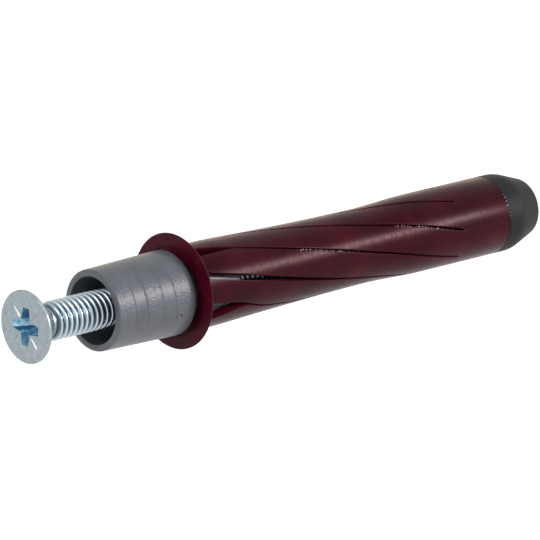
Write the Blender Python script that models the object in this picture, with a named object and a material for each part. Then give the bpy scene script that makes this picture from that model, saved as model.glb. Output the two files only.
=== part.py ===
# Long expansion anchor for a hollow wall, lying along the Y axis.
# A countersunk screw goes through a grey spacer collar into a slotted plastic sleeve.
# It ends in a nut that sits between the sleeve and the black nose.
# The origin is on the axis, in the rear face of the flange, which bears on the wall board.
# The screw head faces -Y, the nose points along +Y, and +Z is up.

import math

import bmesh
import bpy

MM = 0.001

# Fits
CLEARANCE = 0.3 * MM            # between pieces that touch or slide on each other
CHAMFER = 0.2 * MM              # small edge breaks on moulded and turned pieces
CUT_LIFT = 0.4 * MM             # how far a cutter stands out of the face that it cuts
SHARP_ANGLE = math.radians(30)  # edges that turn further than this are shaded sharp

# Countersunk machine screw, threaded up to its head
THREAD_RADIUS = 3.0 * MM        # over the crests
THREAD_DEPTH = 0.61 * MM
THREAD_PITCH = 1.0 * MM
THREAD_RUNOUT = 0.9 * MM        # over which the thread rises at each end
SHANK_NECK = 0.4 * MM           # plain stretch between the head and the thread
SCREW_POINT = 0.5 * MM          # length that stands out of the nut
HEAD_RADIUS = 5.6 * MM
HEAD_LAND = 0.35 * MM           # short cylinder at the rim of the head
HEAD_CONE_ANGLE = math.radians(45)
HEAD_STANDOFF = 13.1 * MM       # from the head's face to the mouth of the collar

# Cross recess in the head
RECESS_RADIUS = 3.0 * MM        # wing tips, in the head's face
RECESS_CORE_RADIUS = 1.45 * MM  # corners between the wings
RECESS_FLOOR_RADIUS = 0.9 * MM
RECESS_DEPTH = 3.2 * MM
RECESS_KNEE = 2.1 * MM          # depth at which the wings start to taper quickly
KNEE_TAPER = 0.45               # share of the whole taper that is reached at the knee
FLOOR_TAPER = 0.6               # what is left of the wings and corners at the floor
WING_WIDTH = 1.35 * MM
RECESS_TURN = math.radians(3)
MARK_INNER_RADIUS = 1.9 * MM    # engraved line between two wings
MARK_LENGTH = 1.95 * MM
MARK_WIDTH = 0.24 * MM
MARK_DEPTH = 0.12 * MM

# Grey spacer collar: a cup for the head with a neck that plugs into the sleeve
COLLAR_MOUTH_RADIUS = 6.25 * MM
COLLAR_REAR_RADIUS = 6.6 * MM
COLLAR_BODY_LENGTH = 14.85 * MM
COLLAR_STANDOFF = 1.15 * MM     # from the collar's rear edge to the flange's front face
COLLAR_NECK_LENGTH = 10.55 * MM  # from the rear edge to the end of the neck
CUP_MOUTH_RADIUS = 5.2 * MM
CUP_FLOOR_RADIUS = 5.0 * MM
CUP_DEPTH = 13.2 * MM

# Dark red sleeve with its flange
FLANGE_RADIUS = 8.95 * MM
FLANGE_THICKNESS = 0.6 * MM
FLANGE_EDGE = 0.45 * MM         # bevel round the rear of the rim
FLANGE_FILLET = 0.4 * MM
SEAT_DEPTH = 0.3 * MM           # shallow seat for the collar, in the flange's front face
SLEEVE_LENGTH = 64.5 * MM       # behind the flange's rear face
SLEEVE_WALL = 1.2 * MM
NECK_RADIUS = 6.55 * MM
NECK_LENGTH = 6.8 * MM          # straight stretch behind the flange
WAIST_RADIUS = 5.79 * MM
WAIST_PLACE = 37.3 * MM
TAIL_LENGTH = 15.5 * MM         # straight stretch in front of the nose
TAIL_WALL = 0.72 * MM           # round the nut
WAIST_CURVE = 1.6               # how quickly the neck falls away towards the waist

# Eight helical slots that leave eight strips
SLOT_COUNT = 8
SLOT_START = 0.8 * MM
SLOT_RING = 0.6 * MM            # closed ring between the slots and the nut
SLOT_WIDTH = 0.28 * MM
SLOT_LIP = 0.32 * MM            # from a slot's middle line to its straight edge, at the mouth
NOTCH_WIDTH = 1.95 * MM         # from the middle line to the other edge, on every second slot
NOTCH_LENGTH = 7.8 * MM
BENT_SLOT = 2                   # the notch of this slot has been pushed wider open
BENT_LIP = 0.55 * MM
BENT_NOTCH_WIDTH = 2.9 * MM
BENT_NOTCH_LENGTH = 9.0 * MM
BENT_DRIFT = 0.65 * MM          # how far this slot wanders sideways
BENT_REACH = 14.0 * MM          # length over which it wanders and comes back
OPEN_SLOT = 1                   # this slot stands open along half its length
OPEN_SLOT_WIDTH = 0.72 * MM     # from the middle line to its wider edge
OPEN_SLOT_LENGTH = 30.0 * MM
SLOT_PHASE = math.radians(12.9)
TWIST_NEAR = math.radians(1.9) / MM     # turn of the slots for each unit of length
TWIST_FAR = math.radians(2.4) / MM
SLOT_CELLS = 3                  # facets across a slot, where the wall is whole
STRIP_CELLS = 4                 # facets across a strip
SLOT_ROWS = 36

# Nut and black nose in the end of the sleeve
NUT_HEIGHT = 4.5 * MM
NUT_WALL = 1.83 * MM            # round its bore
NUT_CHAMFER = 0.4 * MM
SERRATION_DEPTH = 0.25 * MM
PLUG_LENGTH = 4.7 * MM          # part of the nose inside the sleeve
NOSE_CORNER = 3.0 * MM          # length of the nose's straight shoulder
NOSE_LENGTH = 7.7 * MM          # part of the nose that shows behind the sleeve
NOSE_END_RADIUS = 4.45 * MM
NOSE_ROUNDING = 0.5 * MM

# Facets around the axis
FINE_SEGMENTS = 48
SCREW_SEGMENTS = 48
THREAD_SEGMENTS = 12
NUT_SEGMENTS = 36

# Radii that follow: the thread's bore in each piece, the nut's rim, the sleeve round it,
# and the seat round the collar
THREAD_BORE = THREAD_RADIUS + CLEARANCE
NUT_RADIUS = THREAD_BORE + NUT_WALL
TAIL_BORE_RADIUS = NUT_RADIUS + CLEARANCE
TAIL_RADIUS = TAIL_BORE_RADIUS + TAIL_WALL
SEAT_RADIUS = COLLAR_REAR_RADIUS + CLEARANCE

# Places along the axis that follow from the sizes
SEAT_FLOOR = SEAT_DEPTH - FLANGE_THICKNESS
COLLAR_REAR = -FLANGE_THICKNESS - COLLAR_STANDOFF
COLLAR_MOUTH = COLLAR_REAR - COLLAR_BODY_LENGTH
HEAD_FACE = COLLAR_MOUTH - HEAD_STANDOFF
COLLAR_END = COLLAR_REAR + COLLAR_NECK_LENGTH
PLUG_FACE = SLEEVE_LENGTH + CLEARANCE - PLUG_LENGTH
NUT_FACE = PLUG_FACE - CLEARANCE - NUT_HEIGHT
NUT_SEAT = NUT_FACE - CLEARANCE         # inner shoulder of the sleeve, in front of the nut
SLOT_END = NUT_SEAT - SLOT_RING
TAIL_START = SLEEVE_LENGTH - TAIL_LENGTH
SCREW_LENGTH = NUT_FACE + NUT_HEIGHT + SCREW_POINT - HEAD_FACE


def blend(start, end, share):
    return start + (end - start) * share


def sleeve_radius(y):
    """Outer radius of the sleeve: straight neck, waist, straight tail."""
    if y <= NECK_LENGTH:
        return NECK_RADIUS
    if y <= WAIST_PLACE:
        share = (WAIST_PLACE - y) / (WAIST_PLACE - NECK_LENGTH)
        return blend(WAIST_RADIUS, NECK_RADIUS, share ** WAIST_CURVE)
    if y <= TAIL_START:
        share = (y - WAIST_PLACE) / (TAIL_START - WAIST_PLACE)
        return blend(WAIST_RADIUS, TAIL_RADIUS, (1 - math.cos(math.pi * share)) / 2)
    return TAIL_RADIUS


def bore_radius(y):
    return sleeve_radius(y) - SLEEVE_WALL


def slot_twist(y):
    """Angle through which the slots have turned at a place along the sleeve."""
    along = min(max(y, SLOT_START), SLOT_END) - SLOT_START
    length = SLOT_END - SLOT_START
    return TWIST_NEAR * along + (TWIST_FAR - TWIST_NEAR) * along * along / (2 * length)


def slot_edges(slot, y):
    """Distances round the sleeve from a slot's middle line to its two edges.
    A slot is widest behind the flange and closes to a fine cut."""
    lip, mouth, length, drift = SLOT_LIP, SLOT_LIP, NOTCH_LENGTH, 0
    if slot == OPEN_SLOT:
        mouth, length = OPEN_SLOT_WIDTH, OPEN_SLOT_LENGTH
    elif slot == BENT_SLOT:
        lip, mouth, length = BENT_LIP, BENT_NOTCH_WIDTH, BENT_NOTCH_LENGTH
        drift = BENT_DRIFT * math.sin(math.pi * min((y - SLOT_START) / BENT_REACH, 1)) ** 2
    elif slot % 2 == 0:
        mouth = NOTCH_WIDTH
    share = min((y - SLOT_START) / length, 1)
    return blend(lip, SLOT_WIDTH / 2, share) + drift, blend(mouth, SLOT_WIDTH / 2, share) - drift


def cell_angles(y):
    """Angles of the facets round the sleeve: those of a slot, then those of the next strip."""
    pitch = 2 * math.pi / SLOT_COUNT
    place = min(max(y, SLOT_START), SLOT_END)
    angles = []
    for slot in range(SLOT_COUNT):
        centre = SLOT_PHASE + slot * pitch + slot_twist(y)
        near, far = slot_edges(slot, place)
        next_near = slot_edges((slot + 1) % SLOT_COUNT, place)[0]
        edge = centre - near / sleeve_radius(place)
        first = centre + far / sleeve_radius(place)
        last = centre + pitch - next_near / sleeve_radius(place)
        for cell in range(SLOT_CELLS):
            angles.append(blend(edge, first, cell / SLOT_CELLS))
        for cell in range(STRIP_CELLS):
            angles.append(blend(first, last, cell / STRIP_CELLS))
    return angles


def around_axis(y, radius, angle):
    """A point at an angle counted from +Z towards +X."""
    return (radius * math.sin(angle), y, radius * math.cos(angle))


def linear_colour(hex_colour):
    """Linear RGBA of an sRGB hex colour."""
    channels = [int(hex_colour[i:i + 2], 16) / 255 for i in (1, 3, 5)]
    return [c / 12.92 if c <= 0.04045 else ((c + 0.055) / 1.055) ** 2.4 for c in channels] + [1.0]


def make_material(name, hex_colour, roughness, metallic):
    material = bpy.data.materials.new(name)
    material.use_nodes = True
    shader = material.node_tree.nodes["Principled BSDF"]
    shader.inputs["Base Color"].default_value = linear_colour(hex_colour)
    shader.inputs["Roughness"].default_value = roughness
    shader.inputs["Metallic"].default_value = metallic
    material.diffuse_color = linear_colour(hex_colour)
    return material


def make_object(name, bm, parent=None, y=0.0, material=None):
    """Turn a bmesh into an object on the axis, shaded smooth but for its sharp edges."""
    bmesh.ops.recalc_face_normals(bm, faces=bm.faces)
    mesh = bpy.data.meshes.new(name)
    bm.to_mesh(mesh)
    bm.free()
    mesh.shade_smooth()
    mesh.set_sharp_from_angle(angle=SHARP_ANGLE)
    if material:
        mesh.materials.append(material)
    piece = bpy.data.objects.new(name, mesh)
    bpy.context.scene.collection.objects.link(piece)
    piece.parent = parent
    piece.location = (0, y, 0)
    return piece


def turned(profile, segments, closed=True):
    """Spin a profile of (y, radius) points about the Y axis.
    A closed profile makes a ring, and an open one starts and ends on the axis."""
    bm = bmesh.new()
    verts = [bm.verts.new((0, y, radius)) for y, radius in profile]
    edges = [bm.edges.new(pair) for pair in zip(verts, verts[1:])]
    if closed:
        edges.append(bm.edges.new((verts[-1], verts[0])))
    bmesh.ops.spin(bm, geom=verts + edges, cent=(0, 0, 0), axis=(0, 1, 0),
                   angle=2 * math.pi, steps=segments, use_merge=True)
    bmesh.ops.remove_doubles(bm, verts=bm.verts, dist=0.001 * MM)
    return bm


def lofted(rings):
    """Join rings of points with faces and close both ends."""
    bm = bmesh.new()
    loops = [[bm.verts.new(point) for point in ring] for ring in rings]
    count = len(loops[0])
    for lower, upper in zip(loops, loops[1:]):
        for i in range(count):
            j = (i + 1) % count
            bm.faces.new((lower[i], lower[j], upper[j], upper[i]))
    bm.faces.new(loops[0])
    bm.faces.new(reversed(loops[-1]))
    return bm


def make_cutter(name, bm, parent):
    cutter = make_object(name, bm, parent)
    cutter.hide_render = True
    cutter.display_type = 'WIRE'
    return cutter


def cut(piece, cutters):
    """Cut shapes out of a piece and keep the result as its own mesh, with sharp edges."""
    for cutter in cutters:
        boolean = piece.modifiers.new(cutter.name, 'BOOLEAN')
        boolean.operation = 'DIFFERENCE'
        boolean.solver = 'EXACT'
        boolean.object = cutter
    depsgraph = bpy.context.evaluated_depsgraph_get()
    mesh = bpy.data.meshes.new_from_object(piece.evaluated_get(depsgraph))
    piece.modifiers.clear()
    piece.data = mesh
    mesh.shade_smooth()
    mesh.set_sharp_from_angle(angle=SHARP_ANGLE)


def recess_ring(y, tip_radius, core_radius, wing_width):
    """Outline of the cross at one depth: two corners for each wing tip and one between wings."""
    points = []
    for wing in range(4):
        middle = RECESS_TURN + wing * math.pi / 2
        across = math.asin(wing_width / 2 / tip_radius)
        points.append(around_axis(y, tip_radius, middle - across))
        points.append(around_axis(y, tip_radius, middle + across))
        points.append(around_axis(y, core_radius, middle + math.pi / 4))
    return points


def recess_cutter(parent):
    """The driver recess: straight wings at first, then a taper to a small floor."""
    knee_tip = blend(RECESS_RADIUS, RECESS_FLOOR_RADIUS, KNEE_TAPER)
    knee_core = blend(RECESS_CORE_RADIUS, RECESS_FLOOR_RADIUS, KNEE_TAPER)
    rings = [
        recess_ring(-CUT_LIFT, RECESS_RADIUS, RECESS_CORE_RADIUS, WING_WIDTH),
        recess_ring(0, RECESS_RADIUS, RECESS_CORE_RADIUS, WING_WIDTH),
        recess_ring(RECESS_KNEE, knee_tip, knee_core, WING_WIDTH),
        recess_ring(RECESS_DEPTH, RECESS_FLOOR_RADIUS, FLOOR_TAPER * RECESS_FLOOR_RADIUS,
                    FLOOR_TAPER * WING_WIDTH),
    ]
    return make_cutter("recess_cutter", lofted(rings), parent)


def mark_cutter(parent):
    """Four engraved lines, each a V groove between two wings."""
    bm = bmesh.new()
    for wing in range(4):
        turn = RECESS_TURN + math.pi / 4 + wing * math.pi / 2
        ends = []
        for radius in (MARK_INNER_RADIUS, MARK_INNER_RADIUS + MARK_LENGTH):
            half_angle = math.atan(MARK_WIDTH / radius)
            ends.append([
                bm.verts.new(around_axis(-MARK_DEPTH, radius, turn - half_angle)),
                bm.verts.new(around_axis(-MARK_DEPTH, radius, turn + half_angle)),
                bm.verts.new(around_axis(MARK_DEPTH, radius, turn)),
            ])
        inner, outer = ends
        for i in range(3):
            j = (i + 1) % 3
            bm.faces.new((inner[i], inner[j], outer[j], outer[i]))
        bm.faces.new(inner)
        bm.faces.new(reversed(outer))
    return make_cutter("recess_mark_cutter", bm, parent)


def add_thread(bm, start, end):
    """Add a threaded shank to a mesh: one root line and one crest line wind round it.
    The lines begin and stop outside the shank, and are held and merged at its ends."""
    turns = math.ceil((end - start) / THREAD_PITCH + 1.5)
    roots, crests = [], []
    for step in range(turns * THREAD_SEGMENTS + 1):
        turned_by = step / THREAD_SEGMENTS
        for line, shift in ((roots, -1), (crests, -0.5)):
            y = min(max(start + (turned_by + shift) * THREAD_PITCH, start), end)
            height = min((y - start) / THREAD_RUNOUT, (end - y) / THREAD_RUNOUT, 1)
            depth = THREAD_DEPTH * (1 - height) if line is crests else THREAD_DEPTH
            line.append(bm.verts.new(around_axis(y, THREAD_RADIUS - depth, 2 * math.pi * turned_by)))
    for i in range(len(roots) - 1):
        bm.faces.new((roots[i], roots[i + 1], crests[i + 1], crests[i]))
        j = i + THREAD_SEGMENTS
        if j + 1 < len(roots):
            bm.faces.new((crests[i], crests[i + 1], roots[j + 1], roots[j]))
    bmesh.ops.remove_doubles(bm, verts=bm.verts, dist=0.001 * MM)


def make_screw(parent, material):
    """Countersunk screw, threaded from its head to its point."""
    root_radius = THREAD_RADIUS - THREAD_DEPTH
    cone_end = HEAD_LAND + (HEAD_RADIUS - root_radius) / math.tan(HEAD_CONE_ANGLE)
    profile = [
        (0, 0),
        (0, HEAD_RADIUS - CHAMFER),
        (CHAMFER, HEAD_RADIUS),
        (HEAD_LAND, HEAD_RADIUS),
        (cone_end, root_radius),
    ]
    bm = turned(profile, SCREW_SEGMENTS, closed=False)
    add_thread(bm, cone_end + SHANK_NECK, SCREW_LENGTH)
    point = [edge for edge in bm.edges if edge.is_boundary and edge.verts[0].co.y > SCREW_LENGTH / 2]
    bmesh.ops.contextual_create(bm, geom=point)
    bmesh.ops.bridge_loops(bm, edges=[edge for edge in bm.edges if edge.is_boundary])
    screw = make_object("countersunk_screw", bm, parent, HEAD_FACE, material)
    cut(screw, [recess_cutter(screw), mark_cutter(screw)])
    return screw


def make_collar(parent, material):
    """Spacer collar: a cup that flares towards the wall, a flat rear face and a neck."""
    root_radius = bore_radius(0) - CLEARANCE
    neck_radius = bore_radius(COLLAR_END) - CLEARANCE
    cup_floor = COLLAR_MOUTH + CUP_DEPTH
    profile = [
        (COLLAR_MOUTH, COLLAR_MOUTH_RADIUS - 2 * CHAMFER),
        (COLLAR_MOUTH + 0.5 * CHAMFER, COLLAR_MOUTH_RADIUS - 0.5 * CHAMFER),
        (COLLAR_MOUTH + 2 * CHAMFER, COLLAR_MOUTH_RADIUS),
        (COLLAR_REAR - CHAMFER, COLLAR_REAR_RADIUS),
        (COLLAR_REAR, COLLAR_REAR_RADIUS - CHAMFER),
        (COLLAR_REAR, root_radius),
        (COLLAR_END - CHAMFER, neck_radius),
        (COLLAR_END, neck_radius - CHAMFER),
        (COLLAR_END, THREAD_BORE),
        (cup_floor + CUP_FLOOR_RADIUS - THREAD_BORE, THREAD_BORE),
        (cup_floor, CUP_FLOOR_RADIUS),
        (COLLAR_MOUTH + CHAMFER, CUP_MOUTH_RADIUS),
        (COLLAR_MOUTH, CUP_MOUTH_RADIUS + CHAMFER),
    ]
    local = [(y - COLLAR_MOUTH, radius) for y, radius in profile]
    return make_object("spacer_collar", turned(local, FINE_SEGMENTS), parent, COLLAR_MOUTH, material)


def sleeve_sections():
    """Closed section of the sleeve as (y, radius) points, with the rows that the slots cut."""
    rows = [blend(SLOT_START, SLOT_END, i / SLOT_ROWS) for i in range(SLOT_ROWS + 1)]
    outer = [(y, sleeve_radius(y)) for y in rows]
    inner = [(y, bore_radius(y)) for y in reversed(rows)]
    tail = [
        (SLEEVE_LENGTH - CHAMFER, TAIL_RADIUS),
        (SLEEVE_LENGTH, TAIL_RADIUS - CHAMFER),
        (SLEEVE_LENGTH, TAIL_BORE_RADIUS),
        (NUT_SEAT, TAIL_BORE_RADIUS),
        (NUT_SEAT, bore_radius(NUT_SEAT)),
    ]
    flange = [
        (SEAT_FLOOR, bore_radius(SEAT_FLOOR)),
        (SEAT_FLOOR, SEAT_RADIUS),
        (-FLANGE_THICKNESS, SEAT_RADIUS),
        (-FLANGE_THICKNESS, FLANGE_RADIUS - 0.5 * CHAMFER),
        (-FLANGE_THICKNESS + 0.5 * CHAMFER, FLANGE_RADIUS),
        (-FLANGE_EDGE, FLANGE_RADIUS),
        (0, FLANGE_RADIUS - FLANGE_EDGE),
        (0, NECK_RADIUS + FLANGE_FILLET),
        (0.3 * FLANGE_FILLET, NECK_RADIUS + 0.3 * FLANGE_FILLET),
        (FLANGE_FILLET, NECK_RADIUS),
    ]
    section = outer + tail + inner + flange
    first_inner = len(outer) + len(tail)
    return section, len(outer), first_inner


def make_sleeve(parent, material):
    """One moulded piece: flange, neck, eight helical strips and a closed tail."""
    section, row_count, first_inner = sleeve_sections()
    bm = bmesh.new()
    loops = []
    for y, radius in section:
        loops.append([bm.verts.new(around_axis(y, radius, a)) for a in cell_angles(y)])
    cells = len(loops[0])
    pitch_cells = SLOT_CELLS + STRIP_CELLS
    slotted = set(range(row_count - 1))
    slotted.update(range(first_inner, first_inner + row_count - 1))
    for ring in range(len(loops)):
        near = loops[ring]
        far = loops[(ring + 1) % len(loops)]
        for i in range(cells):
            is_slot = i % pitch_cells < SLOT_CELLS
            if is_slot and ring in slotted:
                continue
            j = (i + 1) % cells
            bm.faces.new((near[i], near[j], far[j], far[i]))
    outer_rows = loops[:row_count]
    inner_rows = loops[first_inner:first_inner + row_count][::-1]
    for slot in range(SLOT_COUNT):
        left = slot * pitch_cells
        for side in (left, left + SLOT_CELLS):
            for i in range(row_count - 1):
                bm.faces.new((outer_rows[i][side], outer_rows[i + 1][side],
                              inner_rows[i + 1][side], inner_rows[i][side]))
        for row in (0, row_count - 1):
            for i in range(left, left + SLOT_CELLS):
                bm.faces.new((outer_rows[row][i], outer_rows[row][i + 1],
                              inner_rows[row][i + 1], inner_rows[row][i]))
    unused = [vert for vert in bm.verts if not vert.link_faces]
    bmesh.ops.delete(bm, geom=unused, context='VERTS')
    return make_object("expansion_sleeve", bm, parent, 0, material)


def make_nut(parent, material):
    """Round nut with a serrated rim that bites into the sleeve."""
    profile = [
        (0, NUT_RADIUS - NUT_CHAMFER),
        (NUT_CHAMFER, NUT_RADIUS),
        (NUT_HEIGHT - NUT_CHAMFER, NUT_RADIUS),
        (NUT_HEIGHT, NUT_RADIUS - NUT_CHAMFER),
        (NUT_HEIGHT, THREAD_BORE),
        (0, THREAD_BORE),
    ]
    bm = turned(profile, NUT_SEGMENTS)
    step = 2 * math.pi / NUT_SEGMENTS
    for vert in bm.verts:
        on_rim = math.hypot(vert.co.x, vert.co.z) > NUT_RADIUS - 0.5 * CHAMFER
        place = round(math.atan2(vert.co.x, vert.co.z) / step)
        if on_rim and place % 2:
            vert.co.x *= 1 - SERRATION_DEPTH / NUT_RADIUS
            vert.co.z *= 1 - SERRATION_DEPTH / NUT_RADIUS
    return make_object("threaded_nut", bm, parent, NUT_FACE, material)


def make_nose(parent, material):
    """Black nose: a plug behind the nut, a shoulder as wide as the sleeve and a blunt cone."""
    plug = TAIL_BORE_RADIUS - CLEARANCE
    shoulder = SLEEVE_LENGTH + CLEARANCE
    corner = SLEEVE_LENGTH + NOSE_CORNER
    end = SLEEVE_LENGTH + NOSE_LENGTH + CLEARANCE
    corner_slope = (TAIL_RADIUS - NOSE_END_RADIUS) / (end - corner)
    profile = [
        (PLUG_FACE, plug - CHAMFER),
        (PLUG_FACE + CHAMFER, plug),
        (shoulder, plug),
        (shoulder, TAIL_RADIUS - 0.5 * CHAMFER),
        (shoulder + 0.5 * CHAMFER, TAIL_RADIUS),
        (corner, TAIL_RADIUS),
        (corner + NOSE_ROUNDING, TAIL_RADIUS - 0.8 * corner_slope * NOSE_ROUNDING),
        (end - NOSE_ROUNDING, NOSE_END_RADIUS + corner_slope * NOSE_ROUNDING),
        (end - 0.3 * NOSE_ROUNDING, NOSE_END_RADIUS - 0.2 * NOSE_ROUNDING),
        (end, NOSE_END_RADIUS - NOSE_ROUNDING),
        (end, THREAD_BORE),
        (PLUG_FACE, THREAD_BORE),
    ]
    local = [(y - PLUG_FACE, radius) for y, radius in profile]
    return make_object("nose_cap", turned(local, FINE_SEGMENTS), parent, PLUG_FACE, material)


for old in list(bpy.data.objects):
    bpy.data.objects.remove(old, do_unlink=True)

zinc_steel = make_material("zinc_plated_steel", "#9aa4a8", 0.3, 1.0)
grey_nylon = make_material("grey_nylon", "#85888c", 0.5, 0.0)
red_nylon = make_material("dark_red_nylon", "#45101c", 0.35, 0.0)
nut_steel = make_material("nut_steel", "#8c9296", 0.4, 1.0)
black_nylon = make_material("black_nylon", "#262729", 0.6, 0.0)

axis = bpy.data.objects.new("anchor_axis", None)
bpy.context.scene.collection.objects.link(axis)

make_screw(axis, zinc_steel)
make_collar(axis, grey_nylon)
make_sleeve(axis, red_nylon)
make_nut(axis, nut_steel)
make_nose(axis, black_nylon)
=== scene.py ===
import math

import bmesh
import bpy
from mathutils import Matrix, Vector, noise


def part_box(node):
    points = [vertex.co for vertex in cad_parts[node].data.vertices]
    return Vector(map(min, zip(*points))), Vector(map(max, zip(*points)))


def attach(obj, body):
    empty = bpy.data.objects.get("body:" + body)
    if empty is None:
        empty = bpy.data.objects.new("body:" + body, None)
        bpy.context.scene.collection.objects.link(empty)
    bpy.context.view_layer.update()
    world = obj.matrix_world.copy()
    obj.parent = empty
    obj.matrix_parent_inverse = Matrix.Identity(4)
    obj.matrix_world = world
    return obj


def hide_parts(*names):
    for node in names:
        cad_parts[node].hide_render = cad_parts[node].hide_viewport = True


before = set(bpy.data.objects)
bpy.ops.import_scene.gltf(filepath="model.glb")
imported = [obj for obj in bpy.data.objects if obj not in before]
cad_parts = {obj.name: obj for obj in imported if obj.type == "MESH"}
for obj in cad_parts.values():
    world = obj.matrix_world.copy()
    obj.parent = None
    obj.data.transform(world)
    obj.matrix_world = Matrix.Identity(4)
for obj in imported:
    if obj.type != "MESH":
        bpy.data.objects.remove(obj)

# Hollow-wall anchor, lying level: the screw's head looks along -Y and the nose along +Y.
# Angles round the axis are counted from +Z towards +X, the side that the camera sees.

mm = 0.001
mergeDistance = 0.0002 * mm         # points closer than this are one point
sliverLength = 0.0001 * mm          # edges shorter than this are dissolved
cornerSteps = 4                     # a rounded corner of an outline gets one point more
cornerShare = 0.45                  # the most that a rounding takes of a side
scene = bpy.context.scene
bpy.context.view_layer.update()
screwLow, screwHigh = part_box("countersunk_screw")
collarLow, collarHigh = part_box("spacer_collar")
sleeveLow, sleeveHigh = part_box("expansion_sleeve")
noseLow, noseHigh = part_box("nose_cap")


def linearColour(hexColour):
    channels = [int(hexColour[i:i + 2], 16) / 255 for i in (1, 3, 5)]
    return [c / 12.92 if c <= 0.04045 else ((c + 0.055) / 1.055) ** 2.4 for c in channels] + [1.0]


def mix(start, end, share):
    return start + (end - start) * share


def smoothStep(low, high, value):
    share = min(max((value - low) / (high - low), 0), 1)
    return share * share * (3 - 2 * share)


def window(low, high, fade, value):
    # 1 between low and high, falling to 0 over the fade outside them
    return smoothStep(low - fade, low, value) * (1 - smoothStep(high, high + fade, value))


def onRound(y, radius, angle):
    return Vector((radius * math.sin(angle), y, radius * math.cos(angle)))


# Adds one node: settings are its options, inputs are values, nodes or sockets, and stops are a ramp's
def addNode(tree, kind, settings=None, inputs=None, stops=None):
    made = tree.nodes.new(kind)
    for key, value in (settings or {}).items():
        setattr(made, key, value)
    for key, value in (inputs or {}).items():
        if isinstance(value, bpy.types.Node):
            value = value.outputs[0]
        if isinstance(value, bpy.types.NodeSocket):
            tree.links.new(value, made.inputs[key])
        else:
            made.inputs[key].default_value = value
    if stops:
        ramp = made.color_ramp
        while len(ramp.elements) < len(stops):
            ramp.elements.new(0.5)
        for element, (place, hexColour) in zip(ramp.elements, stops):
            element.position = place
            element.color = linearColour(hexColour)
    return made


def newMaterial(name, shaderValues):
    material = bpy.data.materials.new(name)
    material.use_nodes = True
    tree = material.node_tree
    shader = tree.nodes["Principled BSDF"]
    for key, value in shaderValues.items():
        shader.inputs[key].default_value = value
    coords = addNode(tree, "ShaderNodeTexCoord").outputs["Object"]
    return material, tree, shader, coords


# Materials


# Noise of a real size picks the colour; it is given back, so that the polish can follow it
def clouded(tree, shader, coords, size, detail, stops):
    cloud = addNode(tree, "ShaderNodeTexNoise",
                    inputs={"Vector": coords, "Scale": 1 / size, "Detail": detail})
    colour = addNode(tree, "ShaderNodeValToRGB", inputs={"Fac": cloud}, stops=stops)
    tree.links.new(colour.outputs[0], shader.inputs["Base Color"])
    return cloud


# Noise of a real size stands out of the surface as a fine relief
def grained(tree, shader, coords, size, detail, strength, depth):
    grain = addNode(tree, "ShaderNodeTexNoise",
                    inputs={"Vector": coords, "Scale": 1 / size, "Detail": detail})
    bump = addNode(tree, "ShaderNodeBump",
                   inputs={"Height": grain, "Strength": strength, "Distance": depth})
    tree.links.new(bump.outputs[0], shader.inputs["Normal"])
    return grain


def unevenPolish(tree, shader, pattern, smoothest, roughest):
    rough = addNode(tree, "ShaderNodeMapRange", inputs={0: pattern, 3: smoothest, 4: roughest})
    tree.links.new(rough.outputs[0], shader.inputs["Roughness"])


def zincFace():
    # Cold-headed steel, zinc plated with a clear blue passivate: satin, faintly mottled, cool grey
    material, tree, shader, coords = newMaterial("zincPlatedHeadedSteel", {"Metallic": 1.0})
    mottle = clouded(tree, shader, coords, size=0.9 * mm, detail=4.0,
                     stops=[(0.3, "#8c979c"), (0.7, "#a2acb0")])
    unevenPolish(tree, shader, mottle, smoothest=0.30, roughest=0.42)
    # The plating's own grain is finer than a pixel, so it is drawn coarser, to show
    grained(tree, shader, coords, size=0.16 * mm, detail=3.0, strength=0.12, depth=0.02 * mm)
    return material


def zincRecess():
    # The passivate pools in the punched recess, so its walls look steel blue
    material, tree, shader, coords = newMaterial("zincPlatedPunchedRecess",
                                                 {"Metallic": 1.0, "Roughness": 0.22})
    clouded(tree, shader, coords, size=0.7 * mm, detail=2.0,
            stops=[(0.3, "#5d8ba6"), (0.7, "#a6c3d2")])
    return material


def zincThread():
    # Rolled thread, zinc plated: the colour follows the radius, with painted shade darkening the roots and
    # the crests kept lighter
    material, tree, shader, coords = newMaterial("zincPlatedThreadPaintedRootShade", {"Metallic": 1.0})
    parts = addNode(tree, "ShaderNodeSeparateXYZ", inputs={0: coords})
    across = addNode(tree, "ShaderNodeCombineXYZ", inputs={0: parts.outputs[0], 2: parts.outputs[2]})
    radius = addNode(tree, "ShaderNodeVectorMath", {"operation": "LENGTH"}, {0: across}).outputs["Value"]
    height = addNode(tree, "ShaderNodeMapRange",
                     inputs={0: radius, 1: threadSizes["root"], 2: threadSizes["crest"]})
    # Painted shade: the ramp darkens the thread towards its roots and lightens it at the crests
    colour = addNode(tree, "ShaderNodeValToRGB", inputs={"Fac": height},
                     stops=[(0.05, "#414d52"), (0.45, "#8798a0"), (1.0, "#bdc9cf")])
    tree.links.new(colour.outputs[0], shader.inputs["Base Color"])
    smear = addNode(tree, "ShaderNodeTexNoise",
                    inputs={"Vector": coords, "Scale": 1 / (0.6 * mm), "Detail": 3.0})
    unevenPolish(tree, shader, smear, smoothest=0.26, roughest=0.38)
    return material


def greyNylon():
    # Filled polyamide, moulded: satin grey that scatters light softly, finely grained
    material, tree, shader, coords = newMaterial("greyMouldedPolyamide",
                                                 {"IOR": 1.53, "Specular IOR Level": 0.52})
    cloud = clouded(tree, shader, coords, size=2.5 * mm, detail=5.0,
                    stops=[(0.3, "#575b61"), (0.7, "#656a71")])
    unevenPolish(tree, shader, cloud, smoothest=0.38, roughest=0.48)
    # The filler's grain is finer than a pixel, so it is drawn coarser, to show
    grained(tree, shader, coords, size=0.18 * mm, detail=4.0, strength=0.55, depth=0.03 * mm)
    return material


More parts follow.
